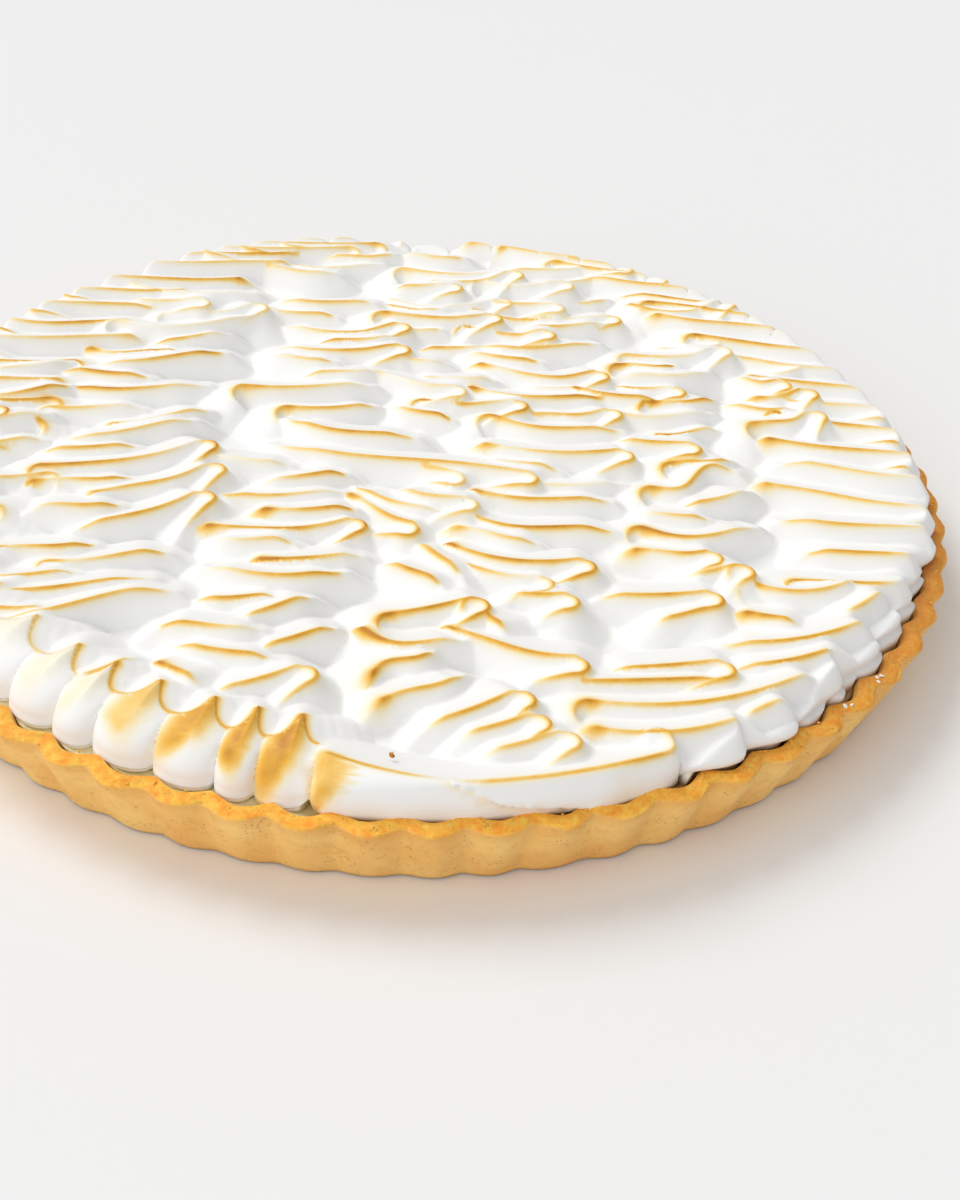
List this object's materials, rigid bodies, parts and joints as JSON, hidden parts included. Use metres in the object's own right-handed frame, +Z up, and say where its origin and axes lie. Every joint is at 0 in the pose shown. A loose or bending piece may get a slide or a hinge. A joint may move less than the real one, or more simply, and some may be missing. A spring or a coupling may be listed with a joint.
{
  "type": "lemon meringue tart",
  "caption": "Round fluted shortcrust tart, whole and uncut, filled with lemon curd and covered with rows of piped, toasted meringue pleats.",
  "frame": {"origin": "middle of the flat underside of the crust", "axes": "+Z up through the tart; -Y faces the side with the long edge ribbon of meringue; +X to its right"},
  "size_m": [0.2824, 0.2824, 0.0292],
  "materials": {
    "baked_shortcrust": "matte baked pastry with fine pores",
    "lemon_curd": "moist set curd, slightly glossy",
    "toasted_meringue": "smooth soft white meringue with torched golden crests"
  },
  "bodies": {
    "root": {"crust": "baked_shortcrust", "lemon_filling": "lemon_curd", "meringue": "toasted_meringue"}
  },
  "joints": []
}
